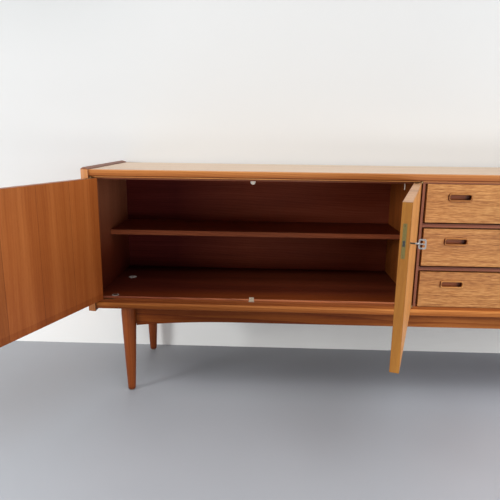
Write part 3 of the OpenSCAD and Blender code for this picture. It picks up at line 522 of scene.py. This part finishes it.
LEFT_START = SIDE + DOOR_GAP
RIGHT_END = STRIP_LEFT - DOOR_GAP
FAR_START, FAR_END = (corner[0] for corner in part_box("door_far"))
BACK_FACE = above("y", DOOR_BACK - 0.4 * MM)
FRONT_FACE = below("y", DOOR_FACE + 0.4 * MM)
GOLDEN_OUTSIDE = zone((1.79, 2.96, 4.30), FRONT_FACE)
RED_INSIDE = zone((0.56, 0.36, 0.26), BACK_FACE)
FOOT_STRIP = zone((0.86, 0.80, 0.72), BACK_FACE, below("z", DOOR_LOW + 21 * MM, 0.0005))
# painted shade on the lower part of the left door's inner face, and painted light on its half towards the
# free edge
LOWER_HALF_SHADE = zone((0.86, 0.80, 0.78), BACK_FACE, below("z", 0.50, 0.12))
OUTER_HALF_LIGHT = zone((1.03, 1.08, 1.22), BACK_FACE, above("x", SIDE + 0.26, 0.10))
LEFT_DOOR_ZONES = (GOLDEN_OUTSIDE, FOOT_STRIP, LOWER_HALF_SHADE, OUTER_HALF_LIGHT)
for door, start, seed, colours, hinge_side, zones in (
    ("left", LEFT_START, 8.4, DOOR_IN, "left", LEFT_DOOR_ZONES),
    ("right", RIGHT_END - DOOR_W, 9.7, DOOR_OUT, "right", (RED_INSIDE,)),
    ("far", FAR_START, 10.2, DOOR_OUT, "right", (RED_INSIDE,)),
):
    opened = door if door in DOOR_TURN else None
    dress(door_teak(f"door_{door}_teak", opened, start, seed, colours, hinge_side, zones), f"door_{door}")

# drawer fronts, and their pulls, with painted shade in the slots, deeper at the right end of
# each slot, and on the left flank of each rim
PULL_FACE = above("y", FRONT - 1.0 * MM, 0.0009)
PULL_SLOT_SHADE = zone((0.58, 0.36, 0.32), PULL_FACE)
for number in (1, 2, 3):
    dress(
        teak(
            f"drawer_teak_{number}", "x", GOLD, 9.0 + number,
            rings=0.1, flecks=1.45, broad=0.5, streaks=0.85,
        ),
        f"drawer_front_{number}",
    )
    first, last = (corner[0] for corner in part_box(f"pulls_{number}"))
    starts = (first, last - PULL_W)
    ends = tuple(
        zone((0.30, 0.22, 0.24), PULL_FACE, ("x", left + PULL_W - 17 * MM, left + PULL_W, 0.004))
        for left in starts
    )
    flanks = tuple(
        zone((0.20, 0.10, 0.09), ("x", left - 0.1 * MM, left + 3.0 * MM, 0.0006))
        for left in starts
    )
    zones = (PULL_SLOT_SHADE,) + ends + flanks
    dress(teak(f"pull_teak_{number}", "x", GOLD, 13.0 + number, rings=0.1, zones=zones), f"pulls_{number}")

# the base, the plain wood of the drawers, and the metal fittings
# painted shadow over the left part of the apron
APRON_LEFT_SHADOW = zone((0.50, 0.365, 0.22), below("x", -0.02, 0.16))
dress(
    teak(
        "apron_teak", "x", APRON, 17.7,
        rings=0.4, broad=1.6, ring_count=45.0, shine=0.12, zones=(APRON_LEFT_SHADOW,),
    ),
    "apron_front", "apron_back",
)
dress(teak("rail_and_bearer_teak", "y", APRON, 17.1, rings=0.3), "end_rails", "bearers")
LEG_FOOT = zone((0.62, 0.50, 0.50), below("z", 13 * MM, 0.003))
for number, name in enumerate(("leg_front_left", "leg_front_right", "leg_back_left", "leg_back_right")):
    dress(teak(f"{name}_teak", "z", LEG, 18.3 + number, broad=1.8, shine=0.2, zones=(LEG_FOOT,)), name)
dress(
    teak("drawer_side_wood", "y", PALE, 20.1, rings=0.1),
    "drawer_box_1", "drawer_box_2", "drawer_box_3", "drawer_runners",
)
dress(
    teak("drawer_base_wood", "x flat", PALE, 21.5, rings=0.1),
    "drawer_base_1", "drawer_base_2", "drawer_base_3",
)
dress(
    plain("hinge_brass", (0.30, 0.20, 0.09), 0.42, 1.0),
    "hinge_leaves", "hinge_left", "hinge_right", "hinge_far", "shelf_pins",
)
dress(
    plain("lock_brass", (0.25, 0.20, 0.075), 0.5, 1.0, speckle=0.35),
    "lock_right", "lock_far", "liner_right", "liner_far", "keeper_left",
)
dress(plain("bolt_steel", (0.10, 0.10, 0.10), 0.4, 1.0), "bolt_right", "bolt_far")
dress(
    plain("fitting_steel", (0.42, 0.42, 0.41), 0.36, 1.0),
    "strike_left", "strike_right", "strike_far", "catch_poles",
)


def key_material():
    """Nickel, bright on the bow, with a dark tone on the shank."""
    material, t, shader = new_material("key_nickel")
    place = t.place()
    x = t.split(place)[0]
    bow_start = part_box("key")[1][0] - 23 * MM
    cloud = t.noise(place, CLOUD_SCALE, 4.0, 0.6)
    nickel = t.mix(cloud, (0.40, 0.39, 0.38, 1), (0.56, 0.55, 0.54, 1))
    bow = t.ramp(x, bow_start - 1 * MM, bow_start + 1 * MM)
    t.put(t.mix(bow, (0.10, 0.085, 0.07, 1), nickel), shader.inputs["Base Color"])
    t.put(t.math("ADD", 0.32, t.math("MULTIPLY", cloud, 0.16)), shader.inputs["Roughness"])
    shader.inputs["Metallic"].default_value = 1.0
    return material


dress(key_material(), "key")
dress(plain("fitting_plastic", (0.66, 0.59, 0.49), 0.45), "catch_top", "door_buffer")
dress(plain("catch_plastic", (0.52, 0.44, 0.34), 0.45), "catch_bottom")


def cap_material():
    """Two hole caps in the cupboard floor: brown in the middle, with a pale rim that is a painted highlight.
    """
    material, t, shader = new_material("cap_plastic")
    low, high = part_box("floor_cap")
    place = t.place()
    middle = (low[0] + high[0]) / 2
    rim_end = 15.5 * MM
    rim = None
    # the two caps: how far back each centre is, and where its rim starts
    for back, rim_start in ((low[1] + 11 * MM, 8.5 * MM), (high[1] - 14.5 * MM, 3 * MM)):
        reach = t.vector("DISTANCE", place, (middle, back, high[2]))
        ring = slab(t, reach, rim_start, rim_end, 0.0006)
        rim = ring if rim is None else t.math("MAXIMUM", rim, ring)
    # the pale rim is a painted highlight
    t.put(t.mix(rim, (0.055, 0.022, 0.012, 1), (0.46, 0.43, 0.40, 1)), shader.inputs["Base Color"])
    t.put(t.math("ADD", 0.40, t.math("MULTIPLY", rim, 0.15)), shader.inputs["Roughness"])
    return material


dress(cap_material(), "floor_cap")
dress(plain("glide_plastic", (0.20, 0.17, 0.14), 0.5), "glides")


# ---------------------------------------------------------------- screws

SAW_CUT = 0.8 * MM
CUT_BOTTOM = 0.04 * MM
HEAD_PROFILE = ((1.0, -0.5 * MM), (1.0, 0.1 * MM), (0.72, 0.35 * MM))    # share of the radius, height
HALF_STEPS = 12


def add_head(mesh, centre, out, along, radius, turn=None):
    """One slotted screw head: two low halves with a saw cut between them, over a flat bottom."""
    out, along = Vector(out).normalized(), Vector(along).normalized()
    across = out.cross(along)
    open_door = Matrix.Identity(4)
    if turn:
        pivot, angle = DOOR_TURN[turn]
        open_door = Matrix.Translation(pivot) @ Matrix.Rotation(-angle, 4, "Z") @ Matrix.Translation(-pivot)

    def point(x, y, z):
        return mesh.verts.new(open_door @ (Vector(centre) + x * along + y * across + z * out))

    start = math.asin(SAW_CUT / 2 / radius)
    angles = [start + (math.pi - 2 * start) * step / HALF_STEPS for step in range(HALF_STEPS + 1)]
    for side in (1, -1):
        rings = []
        for scale, height in HEAD_PROFILE:
            reach = radius * scale
            rings.append([
                point(reach * math.cos(a), side * max(SAW_CUT / 2, reach * math.sin(a)), height)
                for a in angles
            ])
        for low, high in zip(rings, rings[1:]):
            for step in range(HALF_STEPS + 1):
                after = (step + 1) % (HALF_STEPS + 1)
                mesh.faces.new((low[step], low[after], high[after], high[step]))
        mesh.faces.new(rings[-1])
    mesh.faces.new([
        point(radius * math.cos(a), radius * math.sin(a), CUT_BOTTOM)
        for a in (2 * math.pi * step / (2 * HALF_STEPS) for step in range(2 * HALF_STEPS))
    ])


def screws(name, body, material, spots, radius, turn=None):
    """A set of screw heads as one piece. Each spot: centre, the way out of the surface, the cut's way."""
    work = bmesh.new()
    for centre, out, along in spots:
        add_head(work, centre, out, along, radius, turn=turn)
    bmesh.ops.recalc_face_normals(work, faces=work.faces)
    mesh = bpy.data.meshes.new(name)
    work.to_mesh(mesh)
    work.free()
    mesh.materials.append(material)
    piece = bpy.data.objects.new(name, mesh)
    bpy.context.scene.collection.objects.link(piece)
    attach(piece, body)


BRASS_HEAD = plain("screw_brass", (0.24, 0.17, 0.07), 0.4, 1.0, speckle=0.12)
STEEL_HEAD = plain("screw_steel", (0.34, 0.34, 0.33), 0.38, 1.0, speckle=0.12)
LOCK_LOW, LOCK_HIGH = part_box("lock_far")
LOCK_Y = (LOCK_LOW[1] + LOCK_HIGH[1]) / 2
LOCK_Z = (LOCK_LOW[2] + LOCK_HIGH[2]) / 2
LOCK_HALF = (LOCK_HIGH[2] - LOCK_LOW[2]) / 2 - 5 * MM
KEEPER_HALF = 16 * MM
KEEPER_DROP = 5.5 * MM        # the keeper's middle lies this far under the locks'
HINGE_SCREWS = (27 * MM, 44 * MM)
STRIKE_LOW, STRIKE_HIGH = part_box("strike_far")
STRIKE_IN = 6.5 * MM
STRIKE_HEIGHTS = (STRIKE_LOW[2] + 7 * MM, STRIKE_HIGH[2] - 7 * MM)
LEAF_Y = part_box("hinge_far")[1][1] - 8 * MM
# door: its free edge, its hinged edge, and the way from the free edge to the hinged one
DOORS = {
    "left": (LEFT_START + DOOR_W, LEFT_START, -1),
    "right": (RIGHT_END - DOOR_W, RIGHT_END, 1),
    "far": (FAR_START, FAR_END, 1),
}
for door, (free, hinged, way) in DOORS.items():
    turn = door if door in DOOR_TURN else None
    if door == "left":
        heights = (-KEEPER_HALF - KEEPER_DROP, KEEPER_HALF - KEEPER_DROP)
    else:
        heights = (-LOCK_HALF, LOCK_HALF)
    edge_spots = [((free, LOCK_Y, LOCK_Z + height), (-way, 0, 0), (0, 0.3, 1.0)) for height in heights]
    screws(f"lock_screws_{door}", f"door_{door}", BRASS_HEAD, edge_spots, 2.3 * MM, turn)
    leaf_spots = [
        ((hinged - way * inward, LEAF_Y, height), (0, 0, facing), (0.5, 1.0, 0))
        for inward in HINGE_SCREWS for height, facing in ((DOOR_HIGH, 1), (DOOR_LOW, -1))
    ]
    screws(f"hinge_screws_{door}", f"door_{door}", BRASS_HEAD, leaf_spots, 2.8 * MM, turn)
    strike_spots = [
        ((free + way * STRIKE_IN, DOOR_BACK, height), (0, 1, 0), (1.0, 0, 0.4))
        for height in STRIKE_HEIGHTS
    ]
    screws(f"strike_screws_{door}", f"door_{door}", STEEL_HEAD, strike_spots, 2.0 * MM, turn)

# the back is screwed on in a row along its head and one along its foot, with three screws between
BACK_LOW, BACK_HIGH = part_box("back_panel")
SIDE_INSET = 10 * MM
END_INSET = 9 * MM
MIDDLE_X = 9 * MM
MIDDLE_ROW = 0.56
COLUMNS = 8
WOOD_SCREW = 3.2 * MM
back_spots = []
for column in range(COLUMNS):
    x = BACK_LOW[0] + SIDE_INSET + (BACK_HIGH[0] - BACK_LOW[0] - 2 * SIDE_INSET) * column / (COLUMNS - 1)
    for height in (BACK_LOW[2] + END_INSET, BACK_HIGH[2] - END_INSET):
        cut = column * 1.3 + height * 9
        back_spots.append(((x, BACK_HIGH[1], height), (0, 1, 0), (math.cos(cut), 0, math.sin(cut))))
for x in (BACK_LOW[0] + SIDE_INSET, MIDDLE_X, BACK_HIGH[0] - SIDE_INSET):
    back_spots.append(((x, BACK_HIGH[1], MIDDLE_ROW), (0, 1, 0), (1.0, 0, 0.6)))
screws("back_screws", "carcass", STEEL_HEAD, back_spots, WOOD_SCREW)
for number in (1, 2, 3):
    low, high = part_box(f"drawer_box_{number}")
    middle = (low[0] + high[0]) / 2
    front_spots = [
        ((middle + aside, low[1] + 10 * MM, (low[2] + high[2]) / 2), (0, 1, 0), (1.0, 0, 0.3 + 4 * aside))
        for aside in (-0.18, 0.0, 0.18)
    ]
    screws(f"front_screws_{number}", f"drawer_{number}", STEEL_HEAD, front_spots, WOOD_SCREW)


# ---------------------------------------------------------------- scene

def floor_material():
    """Grey floor paint, with a painted shadow under the case, painted light towards the right and
    painted shade towards the back on the left.
    """
    material, t, shader = new_material("floor_grey")
    place = t.place()
    cloud = t.noise(place, 3.0, 4.0)
    paint = t.mix(cloud, (0.43, 0.445, 0.48, 1), (0.47, 0.485, 0.52, 1))
    x, y, _ = t.split(place)
    # painted shadow under the case
    under = t.math("MULTIPLY", t.ramp(y, -0.26, 0.02), t.ramp(x, -1.0, -0.7))
    paint = t.tinted(under, paint, (0.52, 0.52, 0.54))
    # painted light towards the right
    right = t.ramp(x, -0.4, 0.4)
    paint = t.tinted(right, paint, (1.17, 1.19, 1.22))
    # painted shade towards the back, on the left
    rear = t.math("MULTIPLY", t.ramp(y, -0.9, -0.1), t.math("SUBTRACT", 1.0, right))
    t.put(t.tinted(rear, paint, (0.80, 0.80, 0.80)), shader.inputs["Base Color"])
    t.put(t.math("ADD", 0.5, t.math("MULTIPLY", cloud, 0.1)), shader.inputs["Roughness"])
    return material


def wall_material():
    """Off-white paint, seen only from its front, with painted light and shade: paler low down and at
    the top right, darker higher up and in the upper left corner.
    """
    material, t, shader = new_material("wall_white")
    x, _, height = t.split(t.place())
    # painted light low down and painted shade higher up
    paint = t.mix(t.ramp(height, 0.2, 1.1), (0.95, 0.95, 0.93, 1), (0.70, 0.705, 0.70, 1))
    # painted light at the top right
    right = t.math("MULTIPLY", t.ramp(x, 0.0, 0.8), t.ramp(height, 0.7, 1.1))
    paint = t.tinted(right, paint, (1.08, 1.09, 1.10))
    # painted shade in the upper left corner
    corner = t.math("MULTIPLY", t.ramp(height, 1.1, 1.6), t.math("SUBTRACT", 1.0, t.ramp(x, -1.4, -0.8)))
    t.put(t.tinted(corner, paint, (0.86, 0.87, 0.87)), shader.inputs["Base Color"])
    shader.inputs["Roughness"].default_value = 0.8
    clear = t.add("ShaderNodeBsdfTransparent").outputs[0]
    behind = t.add("ShaderNodeNewGeometry").outputs["Backfacing"]
    both = t.add("ShaderNodeMixShader", {0: behind, 1: shader.outputs[0], 2: clear})
    ending = next(node for node in material.node_tree.nodes if node.type == "OUTPUT_MATERIAL")
    t.put(both.outputs[0], ending.inputs[0])
    return material


STAGE_REACH = 6.0
WALL_HEIGHT = 3.2
# each light: name, place, what it points at, size, watts, colour
LIGHTS = (
    ("window_left", (-3.4, -2.1, 1.2), (-0.6, 0, 0.4), (0.8, 0.7), 56, (0.99, 1.0, 1.0)),
    ("window_right", (3.6, -2.0, 1.3), (0.0, 0, 0.4), (1.5, 1.3), 60, (1.0, 1.0, 0.99)),
    ("ceiling", (-0.5, -2.0, 3.0), (-0.5, -1.6, 0), (3.2, 1.6), 66, (0.98, 0.99, 1.0)),
    ("behind", (-0.3, 3.4, 1.0), (-0.3, 0.2, 0.6), (3.0, 0.8), 13, (1.0, 1.0, 1.0)),
    ("low_bounce", (0.8, -2.8, 0.22), (0.1, 0.2, 0.2), (2.6, 0.42), 19, (1.0, 0.99, 0.98)),
)


def make_stage():
    left, right = -STAGE_REACH, STAGE_REACH
    floor = plane(
        "floor",
        [(left, left, 0), (right, left, 0), (right, right, 0), (left, right, 0)],
        floor_material(),
    )
    wall = plane(
        "wall",
        [(left, WALL_Y, 0), (right, WALL_Y, 0), (right, WALL_Y, WALL_HEIGHT), (left, WALL_Y, WALL_HEIGHT)],
        wall_material(),
    )
    wall.visible_shadow = False     # the light behind it reaches the back of the case
    world = bpy.data.worlds.new("room")
    world.use_nodes = True
    sky = world.node_tree.nodes["Background"].inputs
    sky["Color"].default_value = (0.96, 0.98, 1.0, 1)
    sky["Strength"].default_value = 0.20
    bpy.context.scene.world = world
    for light in LIGHTS:
        area_light(*light)
    bpy.context.scene.view_settings.view_transform = "Standard"


make_camera()
make_stage()
